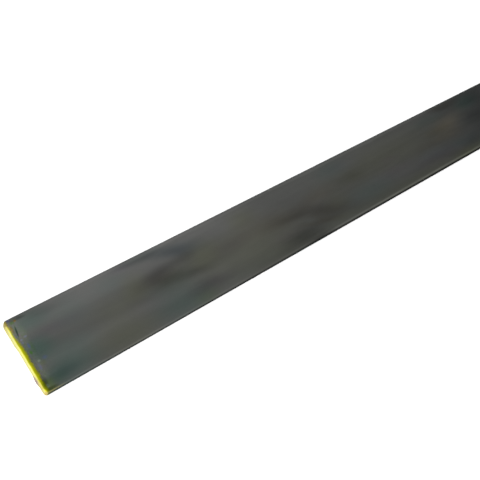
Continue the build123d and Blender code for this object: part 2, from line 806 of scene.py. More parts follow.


# The clouds on the top face, which fade out towards the bar's middle. The broad zones also carry a painted
# light falloff and sheen.
CLOUDS = (
    # Broad zones: partly the scale's own tone, partly a painted light falloff and sheen, lighter towards
    # the painted end and along the far side and darker towards the middle
    Cloud(-424.0, 15.6, 78.0, 7.0, 0.36, Tint.VIOLET, 0.2, 2.0),
    Cloud(-478.0, 12.0, 38.0, 9.0, 0.22, edge=1.5),
    Cloud(-426.0, -2.0, 78.0, 30.0, 0.26, edge=3.0),
    Cloud(-464.0, -6.6, 28.0, 3.0, 0.18),
    Cloud(-292.0, 14.0, 62.0, 8.0, 0.18, edge=1.5),
    Cloud(-134.0, 2.0, 64.0, 34.0, -0.36, Tint.SLATE, 0.4, 1.5),
    Cloud(-148.0, 0.0, 24.0, 34.0, -0.22, edge=1.5),
    Cloud(-245.0, 0.0, 60.0, 30.0, -0.06, edge=1.5),
    Cloud(-290.0, -15.5, 120.0, 4.0, -0.08, Tint.SLATE, 0.2),
    Cloud(-385.0, 0.0, 40.0, 7.0, 0.0, Tint.OLIVE, 0.4),
    Cloud(-358.0, -12.0, 34.0, 8.0, 0.0, Tint.OLIVE, 0.5),
    Cloud(-352.0, 2.0, 24.0, 6.0, 0.03, Tint.BROWN, 0.3, tilt=-4.0),
    Cloud(-250.0, 5.0, 45.0, 9.0, 0.0, Tint.OLIVE, 0.5),
    Cloud(-230.0, -17.0, 90.0, 4.0, 0.0, Tint.OLIVE, 0.5),
    Cloud(-322.0, 19.8, 170.0, 2.3, 0.24, edge=3.0),
    Cloud(-445.0, 19.8, 46.0, 2.3, 0.12, edge=2.0),
    Cloud(-425.0, 16.8, 72.0, 2.6, 0.08, edge=2.0),
    Cloud(-250.0, -17.8, 50.0, 1.6, -0.02),
    # Beside the painted end
    Cloud(-484.0, -14.5, 12.0, 5.0, 0.0, Tint.TEAL, 1.0),
    Cloud(-491.8, 1.0, 6.0, 5.0, -0.14, Tint.TEAL, 1.2),
    Cloud(-484.0, -5.0, 9.0, 5.0, 0.0, Tint.TEAL, 0.5),
    Cloud(-488.0, 14.5, 8.0, 4.0, 0.0, Tint.TEAL, 0.7),
    Cloud(-488.0, -15.0, 7.0, 3.2, -0.18, Tint.SLATE, 0.3),
    Cloud(-475.0, -14.5, 16.0, 2.6, -0.05),
    Cloud(-483.0, -18.6, 11.0, 1.5, 0.10),
    Cloud(-475.0, -9.0, 15.0, 3.6, 0.07),
    Cloud(-487.0, 17.2, 9.0, 1.7, -0.19, tilt=-8.0),
    Cloud(-477.0, 15.4, 11.0, 2.2, -0.22, tilt=2.0),
    Cloud(-480.0, 6.6, 13.0, 2.4, -0.16, Tint.VIOLET, 0.6),
    Cloud(-452.0, -14.0, 16.0, 7.0, 0.0, Tint.OLIVE, 0.6),
    Cloud(-450.0, 0.0, 14.0, 6.0, 0.0, Tint.OLIVE, 0.4),
    Cloud(-447.0, 12.5, 9.0, 4.0, 0.0, Tint.TEAL, 0.25),
    Cloud(-472.0, 0.0, 16.0, 2.0, -0.04),
    Cloud(-491.5, -15.2, 4.5, 3.4, -0.04, Tint.TEAL, 0.4),
    Cloud(-471.0, 10.0, 9.0, 7.0, 0.0, Tint.TEAL, 0.25),
    Cloud(-472.0, -7.0, 7.0, 5.0, 0.0, Tint.TEAL, 0.25),
    Cloud(-467.0, -16.0, 6.0, 3.0, 0.0, Tint.TEAL, 0.1),
    Cloud(-436.0, 17.0, 8.0, 2.0, 0.0, Tint.VIOLET, 0.8),
    Cloud(-452.0, 8.2, 26.0, 2.6, 0.09),
    Cloud(-435.0, 5.0, 7.0, 6.0, 0.0, Tint.OLIVE, 0.5),
    # The dark sweep and the arc beside it
    Cloud(-423.0, 5.5, 11.0, 3.2, -0.24, Tint.VIOLET, 0.4, tilt=8.0),
    Cloud(-420.0, 1.8, 8.0, 4.4, -0.25, Tint.BROWN, 0.2, tilt=-24.0),
    Cloud(-428.0, 1.4, 8.0, 3.4, -0.12, tilt=-16.0),
    Cloud(-408.0, -1.6, 12.0, 2.6, -0.22, tilt=-12.0),
    Cloud(-394.0, -3.2, 14.0, 2.0, -0.10, tilt=-2.0),
    Cloud(-411.0, 5.0, 13.0, 6.0, -0.14, tilt=-20.0),
    Cloud(-430.0, -2.0, 14.0, 3.2, -0.10),
    Cloud(-429.0, 18.0, 11.0, 2.3, -0.50, Tint.TEAL, 0.2, tilt=-3.0),
    Cloud(-412.0, 14.4, 11.0, 3.2, -0.44, Tint.SLATE, 0.6, tilt=-18.0),
    Cloud(-401.0, 11.8, 9.0, 3.6, -0.36, Tint.SLATE, 0.5, tilt=-10.0),
    Cloud(-405.0, 7.4, 6.0, 2.4, -0.20, tilt=-8.0),
    Cloud(-388.0, 11.6, 9.0, 2.6, -0.12),
    Cloud(-366.0, 8.2, 20.0, 2.8, 0.11),
    Cloud(-394.0, 4.0, 8.0, 7.0, 0.0, Tint.OLIVE, 0.4),
    Cloud(-362.0, 11.5, 9.0, 4.5, 0.0, Tint.OLIVE, 0.5),
    Cloud(-343.0, -10.0, 10.0, 3.0, 0.0, Tint.VIOLET, 0.6),
    # The near side of the middle
    Cloud(-428.0, -6.0, 20.0, 4.5, 0.0, Tint.VIOLET, 0.3),
    Cloud(-418.0, -3.0, 11.0, 4.0, -0.05, Tint.TEAL, 0.3),
    Cloud(-418.0, -13.5, 14.0, 6.5, 0.0, Tint.TEAL, 0.6),
    Cloud(-404.0, -17.0, 7.0, 3.5, 0.0, Tint.GREEN, 0.25),
    Cloud(-398.0, -12.6, 12.0, 3.0, -0.22, Tint.VIOLET, 0.6),
    Cloud(-404.0, -10.8, 10.0, 2.6, -0.13),
    Cloud(-410.0, -14.5, 34.0, 4.0, -0.06),
    Cloud(-423.0, -13.0, 14.0, 2.4, -0.08),
    Cloud(-376.0, -13.0, 14.0, 3.0, -0.08),
    Cloud(-377.0, 0.6, 12.0, 3.4, -0.14, Tint.VIOLET, 0.5),
    Cloud(-338.0, -0.4, 14.0, 3.2, -0.22, Tint.BROWN, 0.2, tilt=-2.0),
    Cloud(-331.0, -2.6, 8.0, 1.8, -0.10, tilt=-4.0),
    Cloud(-318.0, -4.4, 11.0, 4.2, -0.22, Tint.BROWN, 0.2, tilt=-16.0),
    Cloud(-304.0, -9.4, 12.0, 4.8, -0.22, Tint.BROWN, 0.2, tilt=-16.0),
    Cloud(-316.0, -11.6, 11.0, 1.9, -0.16, Tint.BROWN, 0.4, tilt=-15.0),
    Cloud(-308.0, -13.0, 7.0, 3.0, -0.06),
    Cloud(-331.0, -14.2, 14.0, 5.0, -0.29, Tint.VIOLET, 0.25, 1.2, tilt=2.0),
    Cloud(-323.0, -20.4, 10.0, 1.8, -0.42, edge=1.3),
    Cloud(-322.0, -8.8, 5.0, 1.6, 0.10, Tint.SLATE, 0.4, tilt=-14.0),
    Cloud(-300.0, -6.0, 8.0, 5.0, 0.0, Tint.OLIVE, 0.35),
    # From the middle to where the placed clouds end
    Cloud(-310.0, 2.5, 12.0, 4.0, 0.0, Tint.BROWN, 0.4),
    Cloud(-281.0, 3.0, 9.0, 3.0, -0.06, Tint.OLIVE, 0.2),
    Cloud(-285.0, 6.0, 15.0, 3.6, -0.12),
    Cloud(-292.0, 13.5, 11.0, 5.0, -0.06, Tint.TEAL, 0.3),
    Cloud(-284.0, 12.0, 14.0, 4.0, 0.0, Tint.BLUE, 0.16),
    Cloud(-275.0, -9.0, 17.0, 5.0, 0.0, Tint.TEAL, 0.4),
    Cloud(-256.0, -6.0, 18.0, 3.0, 0.0, Tint.VIOLET, 0.8),
    Cloud(-238.0, -2.2, 26.0, 2.4, -0.07),
    Cloud(-205.0, -13.0, 30.0, 4.4, -0.16, Tint.VIOLET, 0.7),
    Cloud(-212.0, -7.5, 14.0, 3.6, 0.0, Tint.SLATE, 0.5),
    Cloud(-179.0, -12.0, 8.0, 4.0, -0.12, Tint.TEAL, 0.25),
    Cloud(-200.0, -3.0, 22.0, 5.0, -0.12, Tint.BROWN, 0.4),
    Cloud(-191.0, -1.0, 13.0, 2.8, 0.13, Tint.RUST, 0.12),
    Cloud(-186.0, 5.4, 12.0, 3.8, 0.18, Tint.BROWN, 0.6, tilt=-6.0),
    Cloud(-197.0, 3.8, 12.0, 2.6, 0.0, Tint.RUST, 0.18, tilt=-4.0),
    Cloud(-201.0, 13.0, 14.0, 3.0, -0.05, Tint.TEAL, 0.25),
    Cloud(-248.0, 2.0, 7.0, 2.5, 0.0, Tint.VIOLET, 0.7),
    Cloud(-190.0, -10.0, 6.0, 3.0, 0.0, Tint.TEAL, 0.3),
    Cloud(-188.0, -18.0, 12.0, 3.0, 0.0, Tint.OLIVE, 0.6),
    Cloud(-303.0, -15.5, 10.0, 3.0, 0.07, Tint.OLIVE, 0.15),
    Cloud(-179.0, 14.2, 10.0, 2.2, -0.10, tilt=-4.0),
    Cloud(-181.0, 17.3, 13.0, 2.6, -0.25, Tint.BROWN, 0.3, 1.4, tilt=-4.0),
    Cloud(-160.5, 12.5, 10.0, 4.5, -0.06, Tint.TEAL, 0.8),
    Cloud(-163.0, 8.2, 12.0, 2.6, 0.12),
    Cloud(-180.0, 8.5, 15.0, 4.5, 0.0, Tint.RUST, 0.12),
    Cloud(-167.0, 1.6, 10.0, 3.2, -0.05),
)

# Small marks with sharper edges, nearly all of them beside the paint
MARKS = (
    # A scratch and a bright nick beside the paint
    Cloud(-496.9, 12.4, 2.7, 0.42, -1.3, Tint.TEAL, 0.8, 2.0, tilt=80.0),
    Cloud(-495.0, -4.7, 0.7, 0.6, 0.95, edge=1.5),
    Cloud(-494.4, 11.0, 1.6, 2.6, 0.20, Tint.GREEN, 0.25),
    # Heat colours in small spots
    Cloud(-495.4, 3.9, 0.6, 1.2, -0.05, Tint.BLUE, 1.7, 1.5),
    Cloud(-494.6, 8.6, 0.8, 0.5, 0.45, Tint.BLUE, 0.8, 1.5),
    Cloud(-498.1, 10.2, 0.6, 0.5, 0.0, Tint.BLUE, 1.2),
    Cloud(-496.9, 7.9, 0.6, 0.5, 0.50, Tint.BLUE, 0.9, 1.5),
    Cloud(-497.5, 7.6, 0.6, 0.4, 0.0, Tint.LILAC, 1.2),
    Cloud(-497.2, 6.4, 0.6, 0.6, 0.20, Tint.BLUE, 0.9),
    Cloud(-491.8, -4.4, 1.2, 0.9, 0.0, Tint.BLUE, 1.0),
    Cloud(-496.1, 0.5, 0.6, 0.8, -0.1, Tint.GREEN, 2.2),
    Cloud(-494.2, 2.0, 0.8, 2.8, -0.1, Tint.GREEN, 0.5),
    Cloud(-493.6, -6.2, 1.2, 1.2, 0.0, Tint.OLIVE, 0.8),
    Cloud(-496.0, -7.4, 0.7, 1.8, 0.15, Tint.BLUE, 1.0, 1.5),
    Cloud(-497.3, -1.6, 0.5, 0.8, -0.1, Tint.LILAC, 1.4, 1.5),
    Cloud(-496.6, 10.6, 0.5, 0.6, -0.1, Tint.LILAC, 1.4, 1.5),
    # Dark scale and a bright spot beside the paint, close to the near corner
    Cloud(-497.4, -14.2, 1.1, 2.6, -0.50, edge=1.5),
    Cloud(-497.3, -16.9, 0.8, 0.9, 0.45, Tint.BLUE, 0.7, 1.5),
    Cloud(-496.6, -18.7, 3.0, 0.8, -0.55, Tint.OLIVE, 0.9, 1.5),
    # A rusty spot at the paint's edge, and a violet cast past it
    Cloud(-498.3, 14.6, 0.5, 1.7, 0.0, Tint.RUST, 1.1),
    Cloud(-495.4, 0.4, 2.4, 2.8, 0.0, Tint.LILAC, 0.45),
    # The far corner by the end, and a nick further on
    Cloud(-494.8, 18.3, 4.6, 0.9, -0.55, edge=2.0, tilt=-6.0),
    Cloud(-497.9, 19.0, 0.9, 0.6, -0.2, Tint.BLUE, 1.6),
    Cloud(-495.1, 17.6, 0.6, 0.5, 0.0, Tint.RUST, 1.6),
    Cloud(-496.7, 17.2, 0.9, 0.7, -0.2, Tint.GREEN, 1.2),
    Cloud(-335.2, 19.3, 1.3, 0.5, 0.9, edge=1.5),
)


@dataclass(frozen=True)
class Spot:
    """The point on the bar that a material is worked out for.

    Attributes:
        shading: The material's tree.
        place: The place in millimetres.
        x: Its part along the bar.
        y: Its part across the bar.
        z: Its height.
    """

    shading: Shading
    place: bpy.types.NodeSocket
    x: Value
    y: Value
    z: Value

    @classmethod
    def of(cls, shading: Shading) -> "Spot":
        """The point that a material's tree is asked about."""
        place = shading.place_mm()
        return cls(shading, place, *shading.parts(place))

    def noise(self, size: Triple, detail: float, shift: float) -> Value:
        """Soft random cloud at the point, 0.5 on average."""
        return self.shading.noise(self.place, size, detail, shift)

    def swing(self, size: Triple, detail: float, shift: float, strength: float) -> Value:
        """The same cloud counted from its average, times a strength."""
        return (self.noise(size, detail, shift) - 0.5) * strength


@dataclass(frozen=True)
class Surface:
    """What the bar's surface is like at a point.

    Attributes:
        colour: Its colour.
        rough: Its roughness.
        metal: How far it reflects as metal does.
        thick_paint: How much thick paint covers it, from 0 to 1.
    """

    colour: bpy.types.NodeSocket
    rough: Value
    metal: Value
    thick_paint: Any = 0.0


@dataclass(frozen=True)
class MillScale:
    """Dark blue-grey rolling scale with soft clouds, long streaks and a fine grain.

    Attributes:
        colour: The plain scale's colour.
        metallic: How far it reflects as metal does.
        roughness: Its mean roughness.
        specular: The strength of the gloss that isn't metallic, the same all over the bar.
        placed: Where along the bar the placed clouds begin, and where they are at full strength.
        darkest: The least that the clouds leave of the scale's lightness.
        grain_height: The height of its fine grain, in millimetres.
        rolled_height: The height of the marks that run along it.
        relief_shown: How much of both heights shows.
    """

    colour: Colour = (0.0590, 0.0600, 0.0572)
    metallic: float = 0.45
    roughness: float = 0.50
    specular: float = 0.0
    placed: Span = (-105.0, -150.0)
    darkest: float = 0.3
    grain_height: float = 0.008
    rolled_height: float = 0.02
    relief_shown: float = 0.35


@dataclass(frozen=True)
class LongCorners:
    """The painted highlight, a light line along the near long corner, and the painted shade on the narrow
    edges.

    Lengths are in millimetres. Each stretch is where along the bar a change begins and is complete.

    Attributes:
        line_width: Of the painted highlight line.
        wander_in: Where the line moves in from the corner, by wander.
        wander: How far it moves there.
        last_wander_in: Where it moves in again, by last_wander.
        last_wander: How far it moves there.
        highlight_near_paint: Where the painted highlight gets lighter towards the paint.
        highlight_on: Where it gets lighter the other way.
        lighter_near_paint: Where the painted shade on the near narrow edge lifts towards the paint.
        lighter_before: Where it has already lifted a little.
        shade: The lightness of the narrow edges under their painted shade, as a share of the broad faces'.
    """

    # The line is a painted highlight, and the narrow edges' darkness is painted shade.
    line_width: float = 0.6
    wander_in: Span = (-480.0, -290.0)
    wander: float = 0.98
    last_wander_in: Span = (-270.0, -220.0)
    last_wander: float = 0.2
    highlight_near_paint: Span = (-370.0, -480.0)
    highlight_on: Span = (-350.0, -270.0)
    lighter_near_paint: Span = (-385.0, -490.0)
    lighter_before: Span = (-240.0, -330.0)
    shade: float = 0.42


@dataclass(frozen=True)
class CutSteel:
    """Bare metal on the cut faces.

    Attributes:
        smooth: The clean band's colour.
        torn: The torn metal's.
        rust: The rust's, in soft spots.
        rust_share: How much of it shows in them.
        smooth_rough: The clean band's roughness.
        torn_rougher: How much rougher the torn metal is.
        metallic: How far both reflect as metal does.
    """

    smooth: Colour = (0.42, 0.41, 0.39)
    torn: Colour = (0.26, 0.25, 0.235)
    rust: Colour = (0.16, 0.085, 0.04)
    rust_share: float = 0.35
    smooth_rough: float = 0.34
    torn_rougher: float = 0.22
    metallic: float = 0.9


@dataclass(frozen=True)
class EndPaint:
    """Yellow marking paint on one end, which thins out over the faces beside the cut.

    Lengths are in millimetres. Sides are places across the bar where something begins and is complete.

    Attributes:
        colour: The paint past the cut's rim.
        cut_face_highlit_colour: The thicker paint on the cut face, paled by a painted highlight.
        dull_colour: The paint low on the cut face, which has gone dull.
        rim_tint: What the thick paint is multiplied by near the near corner.
        stain: What the thinnest film multiplies the scale's colour by.
        tan_stain: The same, where the paint has worn brown.
        speck_tint: The same, in the specks along the coat's end.
        tip_colour: The far corner's tip, where the paint has gone.
        tan: The worn paint on the near corner.
        brown: The worn paint towards the far corner.
        spilt: The thin paint along the near long corner.
        bare: The metal in the chip.
        oxide: The darker spots on it.
        roughness: Of the paint.
        gloss: The strength of its clear gloss.
        gloss_rough: The gloss's own roughness.
        full: How far past the cut it covers fully.
        thinning: The length over which it falls from full cover to the thin coat's.
        thin_cover: The cover of the thin coat past that.
        thin_end: Where the thin coat ends.
        thin_fade: The length over which it fades before that.
        film_start: Where the stain begins to fade.
        film_end: Where it has gone.
        haze_start: Where the fainter haze past it begins to fade.
        haze_end: Where that has gone.
        weak_side: Towards the far corner, where the coat is thinner.
        near_side: Beside the near corner.
        tip_side: At the near corner's tip.
        tan_side: Towards the far corner, where the film is tan.
        brown_side: At the far corner, where the paint is worn.
        worn_side: At the near corner's tip, where it is worn through.
        chip_side: The middle of the chip.
        chip_spread: Half its width.
        chip_height: How far it reaches up the end face.
    """

    colour: Colour = (0.80, 0.79, 0.010)
    cut_face_highlit_colour: Colour = (0.92, 0.89, 0.31)
    dull_colour: Colour = (0.72, 0.67, 0.30)
    rim_tint: Colour = (0.82, 0.75, 0.72)
    stain: Colour = (1.14, 1.14, 0.04)
    tan_stain: Colour = (1.36, 1.08, 0.22)
    speck_tint: Colour = (0.58, 0.42, 1.1)
    tip_colour: Colour = (0.21, 0.16, 0.03)
    tan: Colour = (0.66, 0.47, 0.13)
    brown: Colour = (0.49, 0.38, 0.05)
    spilt: Colour = (0.25, 0.225, 0.10)
    bare: Colour = (0.55, 0.46, 0.38)
    oxide: Colour = (0.37, 0.27, 0.23)
    roughness: float = 0.45
    gloss: float = 0.12
    gloss_rough: float = 0.2
    full: float = 0.08
    thinning: float = 0.88
    thin_cover: float = 0.25
    thin_end: float = 2.5
    thin_fade: float = 1.55
    film_start: float = 1.25
    film_end: float = 2.65
    haze_start: float = 2.0
    haze_end: float = 8.5
    weak_side: Span = (5.0, 11.0)
    near_side: Span = (-13.0, -15.5)
    tip_side: Span = (-16.8, -18.2)
    tan_side: Span = (9.0, 16.0)
    brown_side: Span = (12.0, 18.0)
    worn_side: Span = (-18.4, -19.2)
    chip_side: float = -11.4
    chip_spread: float = 2.3
    chip_height: float = 4.1


class PaintedEnd:
    """The paint on the end at -X, laid in one material's tree.

    Attributes:
        inside: How far along the bar from the end the point lies.
        near: 1 beside the near corner.
        torn_line: A noise that tears the edges of worn places.
        bare_corner: 1 where the paint has gone from the far corner.
        cover: How much paint covers the point.
        film_place: How far past the cut it lies for the film, with the film's edge made ragged.
    """

    def __init__(self, at: Spot, section: RolledSection, length: float, paint: EndPaint) -> None:
        """Works out how far the coat reaches and how much it covers.

        The cover is 1 on the cut face. Past its rim it steps down to a thin coat, which ends in a
        ragged line. The line wavers across the bar as a sum of two sines and a noise. At the far
        corner the paint has gone, with a torn edge.

        Args:
            at: The point.
            section: The rolled outline, for the corners' places.
            length: The bar's length in millimetres.
            paint: The paint.
        """
        y, z = at.y, at.z
        half_width, thick = section.width / 2, section.thickness
        self.at, self.section, self.paint = at, section, paint
        self.inside = inside = at.x + length / 2
        waver = (y * 0.55 + 0.6).sine() * 0.10 + (y * 1.31 + 2.1).sine() * 0.07
        ragged = at.swing((0.7, 1.0, 1.0), 3, 41.0, 0.9)
        weak = y.ramp(*paint.weak_side)
        self.near = near = y.ramp(*paint.near_side)
        on_cut = z.ramp(thick - 0.55, thick - 1.1) * inside.ramp(0.7, 0.5) * 2.0
        narrower = y.ramp(-6.5, -8.5) * 0.24 - near * 0.07 - y.ramp(*paint.tip_side) * 0.45
        depth = inside - waver - ragged * 0.6 - on_cut + weak * 0.15 + narrower
        solid = depth.ramp(paint.full + paint.thinning, paint.full)
        coat_edge = depth - ragged * 0.8 + weak * 0.5 + near * 0.3
        coat = coat_edge.ramp(paint.thin_end, paint.thin_end - paint.thin_fade)
        coat = coat * (paint.thin_cover - weak * 0.07 - near * 0.08)
        self.torn_line = at.swing((1.1, 1.5, 1.5), 3, 44.0, 2.4)
        far_corner = (y + self.torn_line).ramp(half_width - 3.4, half_width - 2.6)
        self.bare_corner = far_corner * z.ramp(0.4, 1.4)
        self.cover = (solid + coat * (1 - solid)) * (1 - self.bare_corner * 0.88)
        reach = depth - narrower - ragged * 0.8 + weak * 0.9
        self.film_place = reach - near * 0.3 - y.ramp(1.5, -1.5) * 0.15

    def lay(self, below: Surface) -> Surface:
        """Puts the paint over a surface: film, coat, chip, worn corners and what was spilt.

        Args:
            below: The surface without paint.

        Returns:
            The painted surface.
        """
        shading, y, paint = self.at.shading, self.at.y, self.paint
        stained = self.stained(below.colour)
        thick_paint = self.at.z.ramp(self.section.thickness - 0.1, self.section.thickness - 0.45)
        colour = shading.blend(self.cover, stained, self.pigment(thick_paint))
        oxide = self.at.noise((1.1, 0.9, 0.8), 4, 65.0).ramp(0.36, 0.64)
        colour = shading.blend(self.bare_chip(), colour, shading.blend(oxide, paint.bare, paint.oxide))
        worn = self.worn_corner()
        colour = shading.blend(worn, colour, paint.tan)
        colour = shading.blend(y.ramp(*paint.brown_side) * self.cover * 0.55, colour, paint.brown)
        colour = shading.blend(self.edge_spill(), colour, paint.spilt)
        shown = self.cover.at_least(worn)
        rough = below.rough * (1 - shown) + paint.roughness * shown
        return Surface(colour, rough, below.metal * (1 - shown), self.cover * thick_paint)

    def stained(self, steel: bpy.types.NodeSocket) -> bpy.types.NodeSocket:
        """The steel under the film that reaches past the coat, with specks where the coat ends.

        Args:
            steel: The colour without paint.

        Returns:
            The stained colour.
        """
        shading, paint, past = self.at.shading, self.paint, self.film_place
        film = past.ramp(paint.film_end, paint.film_start)
        haze = past.ramp(paint.haze_end, paint.haze_start) * (self.near * 0.22 + 0.08)
        film = film.at_least(haze) * (1 - self.bare_corner * 0.45)
        stain = shading.blend(self.at.y.ramp(*paint.tan_side), paint.stain, paint.tan_stain)
        stained = shading.blend(film, steel, shading.times(steel, stain))
        tip = self.bare_corner * self.inside.ramp(1.6, 0.6)
        stained = shading.blend(tip * 0.85, stained, paint.tip_colour)
        specks = self.at.noise((0.42, 0.5, 0.5), 2, 63.0).ramp(0.55, 0.64)
        specks = specks * past.ramp(0.7, 1.3) * past.ramp(3.3, 2.3)
        return shading.blend(specks * 0.75, stained, shading.times(stained, paint.speck_tint))

    def pigment(self, thick_paint: Value) -> bpy.types.NodeSocket:
        """The paint's colour, paled on the cut face, where it is thick, by a painted highlight, and dull
        low on the cut face.

        Args:
            thick_paint: Where the paint is thick, from 0 to 1.

        Returns:
            The colour.
        """
        at, shading, paint = self.at, self.at.shading, self.paint
        uneven = 0.90 + at.noise((2.2, 2.6, 1.8), 3, 47.0) * 0.20
        # On the cut face the paint is paled by a painted highlight.
        pigment = shading.scaled(shading.blend(thick_paint, paint.colour, paint.cut_face_highlit_colour), uneven)
        low = (at.z + self.torn_line).ramp(4.3, 2.9)
        dull = low * (0.35 + at.noise((1.3, 1.3, 0.9), 3, 49.0) * 0.6)
        pigment = shading.blend(dull, pigment, paint.dull_colour)
        rim = thick_paint * at.y.ramp(-8.0, -14.0) * (1 - at.y.ramp(*paint.tip_side) * 0.7)
        return shading.blend(rim, pigment, shading.times(pigment, paint.rim_tint))

    def edge_spill(self) -> Value:
        """How much paint crept along the near long corner. It thins out over ten millimetres.

        Returns:
            The paint's cover, a product of steps along, across and down the corner and a broken noise.
        """
        at, half_width = self.at, self.section.width / 2
        along = self.inside.ramp(12.0, 4.0) * self.inside.ramp(0.8, 1.6)
        out = abs(at.y) + (self.section.thickness - at.z) * DOWN_THE_EDGE
        inner = out.ramp(half_width - 0.6, half_width - 0.25)
        across = inner * out.ramp(half_width + 0.8, half_width + 0.3)
        broken = at.noise((1.6, 0.8, 0.8), 2, 52.0).ramp(0.3, 0.55)
        return along * across * at.y.ramp(0.0, -1.0) * at.z.ramp(2.0, 3.0) * (0.35 + broken * 0.65)

    def worn_corner(self) -> Value:
        """How far the paint has worn to a tan on the near corner of the end.

        Returns:
            A torn step across the corner times a step along the bar.
        """
        ragged = self.at.swing((0.9, 0.9, 0.9), 3, 56.0, 1.2)
        reach = self.inside.ramp(1.3, 0.5)
        return (self.at.y + ragged).ramp(*self.paint.worn_side) * reach * 0.8

    def bare_chip(self) -> Value:
        """Where the paint has flaked off low on the end face.

        The distance from the chip's middle is |y / half its width|³ + (z / its height)⁴, which makes a
        rounded square, and two noises tear its outline.

        Returns:
            1 inside the chip and 0 outside it.
        """
        at, paint = self.at, self.paint
        ragged = at.swing((1.5, 1.5, 1.5), 2, 61.0, 2.4)
        flaked = at.swing((0.45, 0.45, 0.45), 3, 67.0, 1.5)
        away = abs((at.y - paint.chip_side) / paint.chip_spread).power(3.0)
        away = away + (at.z / paint.chip_height).power(4.0)
        return (away + ragged + flaked).ramp(1.15, 0.85) * self.inside.ramp(1.2, 0.8)


